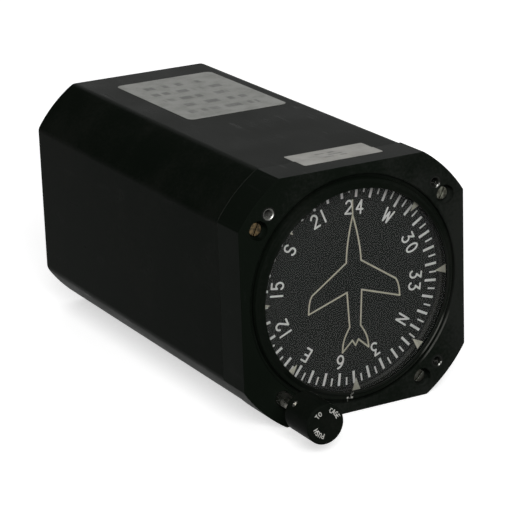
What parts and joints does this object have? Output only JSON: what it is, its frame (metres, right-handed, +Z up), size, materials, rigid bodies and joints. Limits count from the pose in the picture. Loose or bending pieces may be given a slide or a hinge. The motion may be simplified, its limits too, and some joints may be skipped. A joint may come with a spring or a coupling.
{
  "type": "directional gyro indicator",
  "caption": "Air-driven directional gyro for an aircraft panel: dial with a turning compass card and fixed aeroplane symbol, push-to-cage knob, deep case, gimballed rotor inside.",
  "frame": {"origin": "centre of the dial, on the front face of the front frame, which is the face that meets the panel", "axes": "+X to the right and +Z up, as seen from the front; +Y from the front face into the case"},
  "size_m": [0.085, 0.1865, 0.085],
  "materials": {
    "black_frame": "satin black lacquer on cast aluminium",
    "black_ring": "satin black",
    "black_case": "fine satin black lacquer",
    "black_knob": "satin moulded black",
    "glass": "clear, polished",
    "rubber": "dull",
    "cream_paint": "flat cream paint",
    "white_paint": "flat white paint",
    "card_black": "flat dark grey",
    "steel": "turned steel",
    "screw_steel": "aged plated steel",
    "bare_aluminium": "machined",
    "brass": "machined",
    "filter_felt": "felt"
  },
  "bodies": {
    "case": {"front_frame": "black_frame", "bezel_ring": "black_ring", "dial_glass": "glass", "glass_gasket": "rubber", "index_markers": "cream_paint", "aircraft_symbol": "cream_paint", "mounting_inserts": "steel", "front_screws": "screw_steel", "case_gasket": "rubber", "case_cover": "black_case", "shaft_bushing": "brass", "shaft_seal": "rubber", "seal_washer": "steel", "frame_posts": "bare_aluminium", "post_screws": "steel", "front_plate": "bare_aluminium", "plate_screws": "steel", "gyro_frame": "bare_aluminium", "card_bearing_front": "steel", "card_bearing_rear": "steel", "upper_bearing": "steel", "lower_bearing": "steel", "idler_stud": "steel", "lever_pivot": "steel", "air_tube": "brass", "inlet_filter": "filter_felt", "filter_cap": "black_ring", "return_spring": "steel"},
    "card": {"compass_card": "card_black", "card_scale": "white_paint", "card_shaft": "steel", "setting_gear": "brass", "card_hub": "bare_aluminium", "card_bevel_ring": "brass"},
    "idler": {"idler_gear": "brass"},
    "outer_gimbal": {"outer_gimbal": "bare_aluminium", "gimbal_bevel_ring": "brass", "tilt_bearings": "steel", "air_nozzle": "brass"},
    "inner_gimbal": {"inner_gimbal": "bare_aluminium", "rotor_bearings": "steel"},
    "rotor": {"rotor": "brass", "rotor_axle": "steel"},
    "push_washer": {"spring_washer": "steel"},
    "knob": {"knob": "black_knob", "knob_shaft": "steel", "set_screw": "steel", "caging_pinion": "brass", "caging_spool": "steel"},
    "caging_lever": {"caging_lever": "steel"},
    "caging_pin": {"caging_pin": "steel"}
  },
  "joints": [
    {"name": "gimbal_yaw", "type": "hinge", "parent": "case", "child": "outer_gimbal", "pos_m": [0, 0.08862, 0], "axis": [0, 0, 1], "continuous": true},
    {"name": "gimbal_tilt", "type": "hinge", "parent": "outer_gimbal", "child": "inner_gimbal", "pos_m": [0, 0.08862, 0], "axis": [1, 0, 0], "range_deg": [-55, 55]},
    {"name": "rotor_spin", "type": "hinge", "parent": "inner_gimbal", "child": "rotor", "pos_m": [0, 0.08862, 0], "axis": [0, 1, 0], "continuous": true},
    {"name": "card_spin", "type": "hinge", "parent": "case", "child": "card", "pos_m": [0, 0.03, 0], "axis": [0, 1, 0], "continuous": true},
    {"name": "idler_spin", "type": "hinge", "parent": "case", "child": "idler", "pos_m": [-0.0245, 0.04, -0.02042], "axis": [0, 1, 0], "continuous": true},
    {"name": "knob_push", "type": "slide", "parent": "case", "child": "push_washer", "axis": [0, 1, 0], "range_m": [0, 0.009], "stiffness_N_per_m": 150, "springref_m": -0.006, "deforming": ["return_spring"]},
    {"name": "knob_turn", "type": "hinge", "parent": "push_washer", "child": "knob", "pos_m": [-0.02855, 0, -0.0317], "axis": [0, 1, 0], "continuous": true},
    {"name": "lever_turn", "type": "hinge", "parent": "case", "child": "caging_lever", "pos_m": [-0.00698, 0.05785, -0.039], "axis": [0, 0, 1], "range_deg": [-30.5, 0]},
    {"name": "pin_lift", "type": "slide", "parent": "case", "child": "caging_pin", "axis": [0, 0, 1], "range_m": [0, 0.00082]}
  ],
  "couplings": [
    {"joint": "card_spin", "follows": "gimbal_yaw", "ratio": -1},
    {"joint": "idler_spin", "follows": "gimbal_yaw", "ratio": 3},
    {"joint": "lever_turn", "follows": "knob_push", "rad_per_m": -58.178},
    {"joint": "pin_lift", "follows": "knob_push", "ratio": 0.088889}
  ]
}
